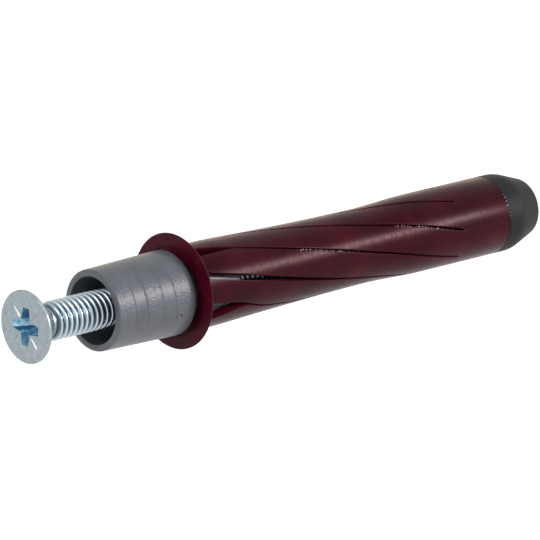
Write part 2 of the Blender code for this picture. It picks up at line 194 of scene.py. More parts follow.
def redNylon():
    # Unfilled polyamide dyed dark red, moulded: semi-gloss, with fine flow lines across the strips
    material, tree, shader, coords = newMaterial("darkRedMouldedPolyamide", {
        "IOR": 1.5, "Specular IOR Level": 0.09, "Specular Tint": (1.0, 0.6, 0.58, 1.0)})
    clouded(tree, shader, coords, size=6 * mm, detail=4.0,
            stops=[(0.3, "#2b030f"), (0.6, "#400919"), (0.85, "#521515")])
    # The flow lines are finer than a pixel, so they are drawn coarser, to show
    acrossStrips = addNode(tree, "ShaderNodeMapping", inputs={"Vector": coords, "Scale": (0.3, 1.0, 0.3)})
    flow = grained(tree, shader, acrossStrips, size=0.25 * mm, detail=4.0, strength=0.4, depth=0.03 * mm)
    unevenPolish(tree, shader, flow, smoothest=0.17, roughest=0.45)
    return material


def redNylonPaintedGlow():
    # The same nylon, painted a brighter crimson on the flange's face and on cut slot walls: a painted glow
    # that stands for light coming through thin nylon
    material, tree, shader, coords = newMaterial("redPolyamidePaintedGlow", {
        "IOR": 1.5, "Roughness": 0.4, "Specular IOR Level": 0.1})
    clouded(tree, shader, coords, size=3 * mm, detail=3.0,
            stops=[(0.3, "#3d0215"), (0.7, "#520a20")])
    return material


def paleGlintNylon():
    # Pale pink, dull crumbs on the red nylon: their pale colour is a painted glint, for lit thread crests
    # seen through the slots and glints on the sleeve's end edge
    material, tree, shader, coords = newMaterial("polyamidePaintedGlints", {"IOR": 1.5, "Roughness": 0.6})
    clouded(tree, shader, coords, size=0.4 * mm, detail=2.0,
            stops=[(0.3, "#b08a94"), (0.7, "#f0e4e6")])
    return material


def blackNylon():
    # Black polyamide, moulded with a spark-eroded finish: matt, nearly neutral
    material, tree, shader, coords = newMaterial("blackMouldedPolyamide",
                                                 {"IOR": 1.5, "Specular IOR Level": 0.2})
    cloud = clouded(tree, shader, coords, size=2 * mm, detail=4.0,
                    stops=[(0.3, "#121315"), (0.7, "#1a1b1d")])
    unevenPolish(tree, shader, cloud, smoothest=0.5, roughest=0.62)
    # The spark-eroded pits are finer than a pixel, so they are drawn coarser, to show
    grained(tree, shader, coords, size=0.25 * mm, detail=3.0, strength=0.3, depth=0.03 * mm)
    return material


def nutSteel():
    # Turned steel nut, plain zinc: hidden inside, duller than the screw
    material, tree, shader, coords = newMaterial("zincPlatedTurnedNut", {"Metallic": 1.0})
    dull = clouded(tree, shader, coords, size=0.5 * mm, detail=3.0,
                   stops=[(0.3, "#80868a"), (0.7, "#969c9f")])
    unevenPolish(tree, shader, dull, smoothest=0.32, roughest=0.45)
    return material


# Rounds the corners of an outline given as (place, radius, rounding)
def roundedOutline(corners, steps=cornerSteps):
    outline = []
    for i, (place, radius, rounding) in enumerate(corners):
        here = Vector((place, radius))
        before = Vector(corners[i - 1][:2]) - here
        after = Vector(corners[(i + 1) % len(corners)][:2]) - here
        reach = min(rounding, before.length * cornerShare, after.length * cornerShare)
        if reach == 0:
            outline.append((place, radius))
            continue
        start = here + before.normalized() * reach
        end = here + after.normalized() * reach
        for k in range(steps + 1):
            t = k / steps
            point = start * (1 - t) ** 2 + here * 2 * t * (1 - t) + end * t * t
            outline.append((point.x, point.y))
    return outline


def latheMesh(outline, segments):
    # Turns a closed outline about the axis; points with no radius merge into one
    bm = bmesh.new()
    rings = []
    turns = [2 * math.pi * k / segments for k in range(segments)]
    for y, radius in outline:
        rings.append([bm.verts.new(onRound(y, radius, turn)) for turn in turns])
    for i, ring in enumerate(rings):
        following = rings[(i + 1) % len(rings)]
        for k in range(segments):
            j = (k + 1) % segments
            bm.faces.new((ring[k], ring[j], following[j], following[k]))
    return bm


def closeUp(bm):
    bmesh.ops.remove_doubles(bm, verts=bm.verts, dist=mergeDistance)
    bmesh.ops.dissolve_degenerate(bm, edges=bm.edges, dist=sliverLength)
    bmesh.ops.recalc_face_normals(bm, faces=bm.faces)


def closedCopy(mesh):
    bm = bmesh.new()
    bm.from_mesh(mesh)
    closeUp(bm)
    return bm


def meshFrom(name, bm, materials, sharpAngle):
    mesh = bpy.data.meshes.new(name)
    bm.to_mesh(mesh)
    bm.free()
    for material in materials:
        mesh.materials.append(material)
    mesh.shade_smooth()
    mesh.set_sharp_from_angle(angle=sharpAngle)
    return mesh


# Adds a finished mesh to the part; node is the plain solid that it replaces, if there is one
def addPiece(name, mesh, body, node):
    piece = bpy.data.objects.new(name, mesh)
    scene.collection.objects.link(piece)
    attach(piece, body)
    if node:
        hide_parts(node)


# Runs a Geometry Nodes tree on a mesh with its inputs set by name, and keeps the plain result
def runTree(tree, mesh, values):
    holder = bpy.data.objects.new(tree.name, mesh)
    scene.collection.objects.link(holder)
    modifier = holder.modifiers.new(tree.name, 'NODES')
    modifier.node_group = tree
    for item in tree.interface.items_tree:
        if item.item_type == 'SOCKET' and item.in_out == 'INPUT' and item.name in values:
            modifier[item.identifier] = values[item.name]
    depsgraph = bpy.context.evaluated_depsgraph_get()
    result = bpy.data.meshes.new_from_object(holder.evaluated_get(depsgraph))
    holder.modifiers.clear()
    bpy.data.objects.remove(holder)
    return result


# Starts a Geometry Nodes tree with a named input for each value that it will be given
def newTree(name, values):
    tree = bpy.data.node_groups.new(name, 'GeometryNodeTree')
    tree.interface.new_socket(name="Geometry", in_out='INPUT', socket_type='NodeSocketGeometry')
    for key, value in values.items():
        kind = 'NodeSocketMaterial' if isinstance(value, bpy.types.Material) else 'NodeSocketFloat'
        tree.interface.new_socket(name=key, in_out='INPUT', socket_type=kind)
    tree.interface.new_socket(name="Geometry", in_out='OUTPUT', socket_type='NodeSocketGeometry')
    given = tree.nodes.new("NodeGroupInput").outputs
    return tree, given


# Moves each point of a flat shape to its place along the axis, its radius and its angle
def rollUp(tree, geometry, place, radius, angle):
    sine = addNode(tree, "ShaderNodeMath", {"operation": "SINE"}, {0: angle})
    cosine = addNode(tree, "ShaderNodeMath", {"operation": "COSINE"}, {0: angle})
    right = addNode(tree, "ShaderNodeMath", {"operation": "MULTIPLY"}, {0: radius, 1: sine})
    up = addNode(tree, "ShaderNodeMath", {"operation": "MULTIPLY"}, {0: radius, 1: cosine})
    point = addNode(tree, "ShaderNodeCombineXYZ", inputs={0: right, 1: place, 2: up})
    return addNode(tree, "GeometryNodeSetPosition", inputs={"Geometry": geometry, "Position": point})


def realAndPainted(tree, geometry, material):
    real = addNode(tree, "GeometryNodeRealizeInstances", inputs={"Geometry": geometry})
    return addNode(tree, "GeometryNodeSetMaterial", inputs={"Geometry": real, "Material": material})


# Screw

screwSizes = {
    "headRadius": screwHigh[0],
    "face": screwLow[1],
    "end": screwHigh[1],
    "land": 0.35 * mm,              # short cylinder at the rim of the head
    "rimRounding": 0.12 * mm,
    "coneAngle": math.radians(45),
    "neck": 0.4 * mm,               # plain stretch between the cone and the thread
    "neckRounding": 0.4 * mm,
    "neckOverRoot": 0.01 * mm,      # the neck is this much thicker than the thread's root
    "neckInThread": 0.1 * mm,       # and reaches this far into the thread
    "segments": 128,
    "sharpAngle": math.radians(30),
    "wings": 4,
    "recessTurn": math.radians(3),
    "recessTip": 3.0 * mm,          # wing tips, in the face
    "recessCore": 1.45 * mm,        # corners between the wings
    "recessFloor": 0.9 * mm,
    "recessDepth": 3.2 * mm,
    "kneeDepth": 2.1 * mm,          # the wings taper quickly below this
    "kneeTaper": 0.45,
    "floorTaper": 0.6,
    "wingWidth": 1.35 * mm,
    "cutterRise": 0.4 * mm,         # the recess cutter stands this far out of the face
    "edgeBreak": 0.1 * mm,          # worn edge round the recess
    "breakSteps": 2,
    "breakAngle": math.radians(35),
    "faceMargin": 0.02 * mm,        # the recess's finish starts this far below the engraved lines
    "coneMargin": 0.4 * mm,         # and this far inside the cone
    "markInner": 1.9 * mm,
    "markLength": 1.95 * mm,
    "markWidth": 0.24 * mm,
    "markDepth": 0.12 * mm,
}

threadSizes = {
    "pitch": 1.0 * mm,
    "crest": 3.0 * mm,
    "root": 2.39 * mm,
    "rootFlat": 0.06,               # shares of half a pitch
    "crestFlat": 0.2,
    "runIn": 0.9 * mm,
    "pointRadius": 2.4 * mm,
    "rowsPerPitch": 12,
    "columns": 48,
    "seam": 0.0005 * mm,            # the rolled grid's edges are merged within this
    "sharpAngle": math.radians(60),
}


def threadTree(values):
    tree, given = newTree("rolledThread", values)
    around = addNode(tree, "ShaderNodeMath", {"operation": "ADD"}, {0: given["Columns"], 1: 1.0})
    grid = addNode(tree, "GeometryNodeMeshGrid", inputs={
        "Size X": 1.0, "Size Y": 1.0, "Vertices X": around, "Vertices Y": given["Rows"]})
    flat = addNode(tree, "ShaderNodeSeparateXYZ", inputs={0: addNode(tree, "GeometryNodeInputPosition")})
    turn = addNode(tree, "ShaderNodeMath", {"operation": "ADD"}, {0: flat.outputs[0], 1: 0.5})
    share = addNode(tree, "ShaderNodeMath", {"operation": "ADD"}, {0: flat.outputs[1], 1: 0.5})
    angle = addNode(tree, "ShaderNodeMath", {"operation": "MULTIPLY"}, {0: turn, 1: 2 * math.pi})
    place = addNode(tree, "ShaderNodeMapRange", inputs={0: share, 3: given["Start"], 4: given["End"]})
    # Height of the thread: 0 at the root, 1 at the crest, one crest to each pitch
    fromStart = addNode(tree, "ShaderNodeMath", {"operation": "SUBTRACT"}, {0: place, 1: given["Start"]})
    pitches = addNode(tree, "ShaderNodeMath", {"operation": "DIVIDE"}, {0: fromStart, 1: given["Pitch"]})
    helix = addNode(tree, "ShaderNodeMath", {"operation": "SUBTRACT"}, {0: pitches, 1: turn})
    wave = addNode(tree, "ShaderNodeMath", {"operation": "PINGPONG"}, {0: helix, 1: 0.5})
    rise = addNode(tree, "ShaderNodeMath", {"operation": "MULTIPLY"}, {0: wave, 1: 2.0})
    top = addNode(tree, "ShaderNodeMath", {"operation": "SUBTRACT"}, {0: 1.0, 1: given["Crest Flat"]})
    height = addNode(tree, "ShaderNodeMapRange", {"interpolation_type": "SMOOTHSTEP"},
                     {0: rise, 1: given["Root Flat"], 2: top})
    runIn = addNode(tree, "ShaderNodeMapRange", {"interpolation_type": "SMOOTHSTEP"},
                    {0: fromStart, 1: 0.0, 2: given["Run In"]})
    full = addNode(tree, "ShaderNodeMath", {"operation": "MULTIPLY"}, {0: height, 1: runIn})
    radius = addNode(tree, "ShaderNodeMapRange",
                     inputs={0: full, 3: given["Root Radius"], 4: given["Crest Radius"]})
    # The point is chamfered, and both ends close on the axis: the grid's first and last rows
    justUnderHalf = 0.49999
    toEnd = addNode(tree, "ShaderNodeMath", {"operation": "SUBTRACT"}, {0: given["End"], 1: place})
    chamfer = addNode(tree, "ShaderNodeMath", {"operation": "ADD"}, {0: toEnd, 1: given["Point Radius"]})
    limited = addNode(tree, "ShaderNodeMath", {"operation": "MINIMUM"}, {0: radius, 1: chamfer})
    middle = addNode(tree, "ShaderNodeMath", {"operation": "ABSOLUTE"}, {0: flat.outputs[1]})
    inside = addNode(tree, "ShaderNodeMath", {"operation": "LESS_THAN"}, {0: middle, 1: justUnderHalf})
    closed = addNode(tree, "ShaderNodeMath", {"operation": "MULTIPLY"}, {0: limited, 1: inside})
    rolled = rollUp(tree, grid, place, closed, angle)
    merged = addNode(tree, "GeometryNodeMergeByDistance",
                     inputs={"Geometry": rolled, "Distance": given["Seam"]})
    addNode(tree, "NodeGroupOutput", inputs={0: realAndPainted(tree, merged, given["Material"])})
    return tree


def recessRing(y, tipRadius, coreRadius, wingWidth):
    points = []
    wingTurn = 2 * math.pi / screwSizes["wings"]
    for wing in range(screwSizes["wings"]):
        middle = screwSizes["recessTurn"] + wing * wingTurn
        across = math.asin(wingWidth / 2 / tipRadius)
        points.append(onRound(y, tipRadius, middle - across))
        points.append(onRound(y, tipRadius, middle + across))
        points.append(onRound(y, coreRadius, middle + wingTurn / 2))
    return points


def recessCutter():
    s = screwSizes
    kneeTip = mix(s["recessTip"], s["recessFloor"], s["kneeTaper"])
    kneeCore = mix(s["recessCore"], s["recessFloor"], s["kneeTaper"])
    floorCore = s["recessFloor"] * s["floorTaper"]
    floorWidth = s["wingWidth"] * s["floorTaper"]
    rings = [
        recessRing(s["face"] - s["cutterRise"], s["recessTip"], s["recessCore"], s["wingWidth"]),
        recessRing(s["face"], s["recessTip"], s["recessCore"], s["wingWidth"]),
        recessRing(s["face"] + s["kneeDepth"], kneeTip, kneeCore, s["wingWidth"]),
        recessRing(s["face"] + s["recessDepth"], s["recessFloor"], floorCore, floorWidth),
    ]
    bm = bmesh.new()
    loops = [[bm.verts.new(point) for point in ring] for ring in rings]
    for lower, upper in zip(loops, loops[1:]):
        for i in range(len(lower)):
            j = (i + 1) % len(lower)
            bm.faces.new((lower[i], lower[j], upper[j], upper[i]))
    bm.faces.new(loops[0])
    bm.faces.new(reversed(loops[-1]))
    return bm


def markCutter():
    # An engraved line between each two wings, a V groove
    s = screwSizes
    wingTurn = 2 * math.pi / s["wings"]
    bm = bmesh.new()
    for wing in range(s["wings"]):
        turn = s["recessTurn"] + wingTurn / 2 + wing * wingTurn
        ends = []
        for radius in (s["markInner"], s["markInner"] + s["markLength"]):
            half = math.atan(s["markWidth"] / radius)
            ends.append([
                bm.verts.new(onRound(s["face"] - s["markDepth"], radius, turn - half)),
                bm.verts.new(onRound(s["face"] - s["markDepth"], radius, turn + half)),
                bm.verts.new(onRound(s["face"] + s["markDepth"], radius, turn)),
            ])
        inner, outer = ends
        for i in range(len(inner)):
            j = (i + 1) % len(inner)
            bm.faces.new((inner[i], inner[j], outer[j], outer[i]))
        bm.faces.new(inner)
        bm.faces.new(reversed(outer))
    return bm


def cutObject(name, bm):
    bmesh.ops.recalc_face_normals(bm, faces=bm.faces)
    made = bpy.data.objects.new(name, meshFrom(name, bm, [], screwSizes["breakAngle"]))
    scene.collection.objects.link(made)
    return made


def threadStart():
    s = screwSizes
    coneLength = (s["headRadius"] - threadSizes["root"]) / math.tan(s["coneAngle"])
    return s["face"] + s["land"] + coneLength + s["neck"]


def makeScrewHead(face, recess):
    s = screwSizes
    neckRadius = threadSizes["root"] + s["neckOverRoot"]
    neckEnd = threadStart() + s["neckInThread"]
    corners = [
        (s["face"], 0, 0),
        (s["face"], s["headRadius"], s["rimRounding"]),
        (s["face"] + s["land"], s["headRadius"], s["rimRounding"]),
        (threadStart() - s["neck"], neckRadius, s["neckRounding"]),
        (neckEnd, neckRadius, 0),
        (neckEnd, 0, 0),
    ]
    bm = latheMesh(roundedOutline(corners), s["segments"])
    closeUp(bm)
    head = cutObject("screwHeadBlank", bm)
    cutters = [cutObject("recessCutter", recessCutter()), cutObject("markCutter", markCutter())]
    for cutter in cutters:
        boolean = head.modifiers.new(cutter.name, 'BOOLEAN')
        boolean.operation = 'DIFFERENCE'
        boolean.solver = 'EXACT'
        boolean.object = cutter
    edge = head.modifiers.new("edgeBreak", 'BEVEL')
    edge.width = s["edgeBreak"]
    edge.segments = s["breakSteps"]
    edge.limit_method = 'ANGLE'
    edge.angle_limit = s["breakAngle"]
    depsgraph = bpy.context.evaluated_depsgraph_get()
    cutMesh = bpy.data.meshes.new_from_object(head.evaluated_get(depsgraph))
    for spent in [head] + cutters:
        bpy.data.objects.remove(spent)
    bm = closedCopy(cutMesh)
    for poly in bm.faces:
        centre = poly.calc_center_median()
        radius = math.hypot(centre.x, centre.z)
        depth = centre.y - s["face"]
        deep = s["markDepth"] < depth - s["faceMargin"] < s["recessDepth"]
        onCone = radius > s["headRadius"] + s["land"] - depth - s["coneMargin"]
        inRecess = deep and not onCone and radius < s["recessTip"] + s["edgeBreak"]
        poly.material_index = 1 if inRecess else 0
    mesh = meshFrom("screwHead", bm, [face, recess], s["sharpAngle"])
    addPiece("screwHead", mesh, "screw", "countersunk_screw")


def makeScrewThread(material):
    s, t = screwSizes, threadSizes
    start = threadStart()
    rows = int((s["end"] - start) / t["pitch"] * t["rowsPerPitch"])
    values = {
        "Start": start, "End": s["end"], "Pitch": t["pitch"], "Crest Radius": t["crest"],
        "Root Radius": t["root"], "Root Flat": t["rootFlat"], "Crest Flat": t["crestFlat"],
        "Run In": t["runIn"], "Point Radius": t["pointRadius"], "Rows": float(rows),
        "Columns": float(t["columns"]), "Seam": t["seam"], "Material": material,
    }
    rolled = runTree(threadTree(values), bpy.data.meshes.new("threadSeed"), values)
    mesh = meshFrom("screwThread", closedCopy(rolled), [material], t["sharpAngle"])
    addPiece("screwThread", mesh, "screw", "countersunk_screw")


# Grey collar

collarSizes = {
    "mouth": collarLow[1],
    "mouthRadius": 6.25 * mm,
    "rearRadius": collarHigh[0],
    "bodyLength": 14.85 * mm,
    "neckEnd": collarHigh[1],
    "neckRoot": 5.05 * mm,
    "neckTip": 4.98 * mm,
    "cupMouth": 5.2 * mm,
    "cupFloor": 5.0 * mm,
    "cupDepth": 13.2 * mm,
    "hole": 3.3 * mm,
    "rimRounding": 0.28 * mm,
    "mouthRounding": 0.16 * mm,
    "floorRounding": 0.3 * mm,
    "holeRounding": 0.1 * mm,
    "tipRounding": 0.2 * mm,
    "segments": 300,
    "skinRows": 110,
    "sharpAngle": math.radians(40),
    # Turned lines, placed from the mouth
    "scores": [3.1 * mm, 5.47 * mm, 8.5 * mm, 10.9 * mm],
    "scoreDepth": 0.07 * mm,
    "scoreWidth": 0.09 * mm,
    "scoreFrom": math.radians(25),
    "scoreTo": math.radians(100),
    "scoreFade": math.radians(15),
    # Bands grained by the mould, placed from the mouth
    "bands": [(0.7 * mm, 2.9 * mm), (5.7 * mm, 8.3 * mm), (11.1 * mm, 14.2 * mm)],
    "bandEdge": 0.3 * mm,
    "bandFrom": math.radians(30),
    "bandTo": math.radians(98),
    "bandFade": math.radians(8),
    "grainSize": 0.19 * mm,
    "grainDepth": 0.05 * mm,
    "gatePlace": 11.85 * mm,
    "gateAngle": math.radians(105),
    "gateRadius": 0.4 * mm,
    "gateDepth": 0.15 * mm,
    "gateRing": 0.3,                # widths of the gate mark's ring and dimple, as shares of its radius
    "gateDimple": 0.6,
}


def collarRelief(place, angle, point):
    s = collarSizes
    height = 0.0
    scored = window(s["scoreFrom"], s["scoreTo"], s["scoreFade"], angle)
    for score in s["scores"]:
        height -= s["scoreDepth"] * scored * math.exp(-((place - score) / s["scoreWidth"]) ** 2)
    for low, high in s["bands"]:
        inside = window(low, high, s["bandEdge"], place)
        inside *= window(s["bandFrom"], s["bandTo"], s["bandFade"], angle)
        if inside > 0:
            height += s["grainDepth"] * inside * noise.noise(point / s["grainSize"])
    across = Vector((place - s["gatePlace"], (angle - s["gateAngle"]) * s["rearRadius"]))
    out = across.length / s["gateRadius"]
    ring = math.exp(-((out - 1) / s["gateRing"]) ** 2)
    dimple = math.exp(-(out / s["gateDimple"]) ** 2)
    return height + s["gateDepth"] * (ring - dimple)


def makeCollar(material):
    s = collarSizes
    rear = s["mouth"] + s["bodyLength"]
    floor = s["mouth"] + s["cupDepth"]
    corners = [
        (s["mouth"], s["mouthRadius"], s["rimRounding"]),
        (rear, s["rearRadius"], s["rimRounding"]),
        (rear, s["neckRoot"], 0),
        (s["neckEnd"], s["neckTip"], s["tipRounding"]),
        (s["neckEnd"], s["hole"], s["holeRounding"]),
        (floor + s["cupFloor"] - s["hole"], s["hole"], s["holeRounding"]),
        (floor, s["cupFloor"], s["floorRounding"]),
        (s["mouth"], s["cupMouth"], s["mouthRounding"]),
    ]
    outline = roundedOutline(corners)
    # The outer skin lies between the first two corners and gets rows fine enough for its relief
    start, end = outline[cornerSteps], outline[cornerSteps + 1]
    shares = [k / s["skinRows"] for k in range(1, s["skinRows"])]
    skin = [(mix(start[0], end[0], share), mix(start[1], end[1], share)) for share in shares]
    outline[cornerSteps + 1:cornerSteps + 1] = skin
    bm = latheMesh(outline, s["segments"])
    wallMiddle = (s["cupMouth"] + s["mouthRadius"]) / 2
    first, last = s["mouth"] + s["rimRounding"], rear - s["rimRounding"]
    for vert in bm.verts:
        radius = math.hypot(vert.co.x, vert.co.z)
        if radius < wallMiddle or not first <= vert.co.y <= last:
            continue
        angle = math.atan2(vert.co.x, vert.co.z)
        height = collarRelief(vert.co.y - s["mouth"], angle, vert.co)
        vert.co.x *= 1 + height / radius
        vert.co.z *= 1 + height / radius
    closeUp(bm)
    mesh = meshFrom("cupCollar", bm, [material], s["sharpAngle"])
    addPiece("cupCollar", mesh, "anchor_shell", "spacer_collar")


# Red sleeve

sleeveSizes = {
    "flangeRadius": sleeveHigh[0],
    "flangeFront": sleeveLow[1],
    "flangeEdge": 0.45 * mm,
    "flangeFillet": 0.4 * mm,
    "seatRadius": collarHigh[0] + 0.3 * mm,     # shallow seat for the collar, in the flange
    "seatDepth": 0.3 * mm,
    "seatRounding": 0.08 * mm,
    "frontRounding": 0.1 * mm,
    "rimRounding": 0.12 * mm,       # the flange's bevelled rear edge, and the sleeve's end
    "innerRounding": 0.05 * mm,
    "end": sleeveHigh[1],
    "wall": 1.2 * mm,
    "tailWall": 0.72 * mm,
    "neckRadius": 6.55 * mm,
    "neckLength": 6.8 * mm,
    "waistRadius": 5.79 * mm,
    "waistPlace": 37.3 * mm,
    "waistCurve": 1.6,
    "tailRadius": noseHigh[0],
    "tailLength": 15.5 * mm,
    "slotStart": 0.8 * mm,
    "slotEnd": 54.4 * mm,
    "nutSeat": 55.0 * mm,
    "slots": 8,
    "phase": math.radians(12.9),
    "twistNear": math.radians(1.9) / mm,
    "twistFar": math.radians(2.4) / mm,
    "slotWidth": 0.28 * mm,
    "slotLip": 0.32 * mm,
    "notchWidth": 1.95 * mm,
    "notchLength": 7.8 * mm,
    "bentSlot": 2,
    "bentLip": 0.55 * mm,
    "bentNotchWidth": 2.9 * mm,
    "bentNotchLength": 9.0 * mm,
    "bentDrift": 0.65 * mm,         # how far this slot wanders sideways
    "bentReach": 14.0 * mm,
    "openSlot": 1,
    "openSlotWidth": 0.72 * mm,
    "openSlotLength": 30.0 * mm,
    "edgeBreak": 0.09 * mm,         # worn edges of the strips
    "edgeFade": 0.4 * mm,           # the wear dies out towards a slot's ends
    "edgeShare": 0.02,              # and takes this share of a strip's width
    "rows": 150,
    # Columns across a strip, as shares of its width: closer at its worn edges
    "stripShares": [0, 0.008, 0.02, 0.04, 0.1, 0.2, 0.3, 0.4, 0.5, 0.6, 0.7, 0.8, 0.9,
                    0.96, 0.98, 0.992],
    "slotCells": 4,
    "sharpAngle": math.radians(40),
}


def slotEdges(slot, y):
    s = sleeveSizes
    along = max(y - s["slotStart"], 0)
    lip, mouth, length, drift = s["slotLip"], s["slotLip"], s["notchLength"], 0
    if slot == s["openSlot"]:
        mouth, length = s["openSlotWidth"], s["openSlotLength"]
    elif slot == s["bentSlot"]:
        lip, mouth, length = s["bentLip"], s["bentNotchWidth"], s["bentNotchLength"]
        drift = s["bentDrift"] * math.sin(math.pi * min(along / s["bentReach"], 1)) ** 2
    elif slot % 2 == 0:
        mouth = s["notchWidth"]
    share = min(along / length, 1)
    return mix(lip, s["slotWidth"] / 2, share) + drift, mix(mouth, s["slotWidth"] / 2, share) - drift


# The wall's section in four runs, as places and heights over the skin; the rounded runs leave
# out their ends, which are the first and last rows of the slots
def sleeveSection():
    s = sleeveSizes
    places = [mix(s["slotStart"], s["slotEnd"], i / s["rows"]) for i in range(s["rows"] + 1)]
    outer = [(y, 0.0) for y in places]
    tail = roundedOutline([
        (s["slotEnd"], 0, 0),
        (s["end"], 0, s["rimRounding"]),
        (s["end"], -s["tailWall"], s["innerRounding"]),
        (s["nutSeat"], -s["tailWall"], 0),
        (s["nutSeat"], -s["wall"], 0),
        (s["slotEnd"], -s["wall"], 0),
    ])[1:-1]
    inner = [(y, -s["wall"]) for y in reversed(places)]
    rim = s["flangeRadius"] - s["neckRadius"]
    seat = s["seatRadius"] - s["neckRadius"]
    seatFloor = s["flangeFront"] + s["seatDepth"]
    flange = roundedOutline([
        (s["slotStart"], -s["wall"], 0),
        (seatFloor, -s["wall"], s["seatRounding"]),
        (seatFloor, seat, s["innerRounding"]),
        (s["flangeFront"], seat, s["seatRounding"]),
        (s["flangeFront"], rim, s["frontRounding"]),
        (-s["flangeEdge"], rim, s["rimRounding"]),
        (0, rim - s["flangeEdge"], s["rimRounding"]),
        (0, 0, s["flangeFillet"]),
        (s["slotStart"], 0, 0),
    ])[1:-1]
    return outer, tail, inner, flange


# The sleeve is laid out flat: X is the way from a slot's middle line, Z the height over the skin
def flatSleeve():
    s = sleeveSizes
    pitch = 2 * math.pi / s["slots"]
    outer, tail, inner, flange = sleeveSection()
    section = outer + tail + inner + flange
    rows = len(outer)
    bm = bmesh.new()
    turnLayer = bm.verts.layers.float.new("turn")
    paintedGlowLayer = bm.faces.layers.int.new("paintedGlow")
    loops = []
    for ring, (y, depth) in enumerate(section):
        held = min(max(y, s["slotStart"]), s["slotEnd"])
        opened = window(s["slotStart"] + s["edgeFade"], s["slotEnd"] - s["edgeFade"], s["edgeFade"], y)
        worn = s["edgeBreak"] * opened if ring < rows else 0
        loop = []
        for slot in range(s["slots"]):
            near, far = slotEdges(slot, held)
            nextNear = slotEdges((slot + 1) % s["slots"], held)[0]
            for cell in range(s["slotCells"]):
                x = mix(-near, far, cell / s["slotCells"])
                drop = worn if cell == 0 else 0
                loop.append((x, slot * pitch, depth - drop, y))
            for share in s["stripShares"]:
                x = mix(far, -nextNear, share)
                toEdge = min(share, 1 - share) / s["edgeShare"]
                drop = worn * max(1 - toEdge, 0) ** 2
                loop.append((x, (slot + share) * pitch, depth - drop, y))
        verts = []
        for x, turn, z, y in loop:
            vert = bm.verts.new((x, y, z))
            vert[turnLayer] = turn
            verts.append(vert)
        loops.append(verts)
    pitchCells = s["slotCells"] + len(s["stripShares"])
    cells = pitchCells * s["slots"]
    firstInner = rows + len(tail)
    # The flange's rows with the painted glow end before its rear face and the rounded corner that follows
    flangeRows = range(firstInner + rows - 1, len(section) - (cornerSteps + 2))

    def addFace(corners, paintedGlow):
        made = bm.faces.new(corners)
        made[paintedGlowLayer] = int(paintedGlow)

    for ring, near in enumerate(loops):
        far = loops[(ring + 1) % len(loops)]
        slotted = ring < rows - 1 or firstInner <= ring < firstInner + rows - 1
        for i in range(cells):
            if slotted and i % pitchCells < s["slotCells"]:
                continue
            j = (i + 1) % cells
            addFace((near[i], near[j], far[j], far[i]), ring in flangeRows)
    outerRows = loops[:rows]
    innerRows = loops[firstInner:firstInner + rows][::-1]
    for slot in range(s["slots"]):
        left = slot * pitchCells
        # The walls of the bent slot, and the end walls of every slot, carry the painted glow
        for side in (left, left + s["slotCells"]):
            for i in range(rows - 1):
                addFace((outerRows[i][side], outerRows[i + 1][side],
                         innerRows[i + 1][side], innerRows[i][side]), slot == s["bentSlot"])
        for row in (0, rows - 1):
            for i in range(left, left + s["slotCells"]):
                addFace((outerRows[row][i], outerRows[row][i + 1],
                         innerRows[row][i + 1], innerRows[row][i]), True)
    unused = [vert for vert in bm.verts if not vert.link_faces]
    bmesh.ops.delete(bm, geom=unused, context='VERTS')
    mesh = bpy.data.meshes.new("flatSleeve")
    bm.to_mesh(mesh)
    bm.free()
    return mesh


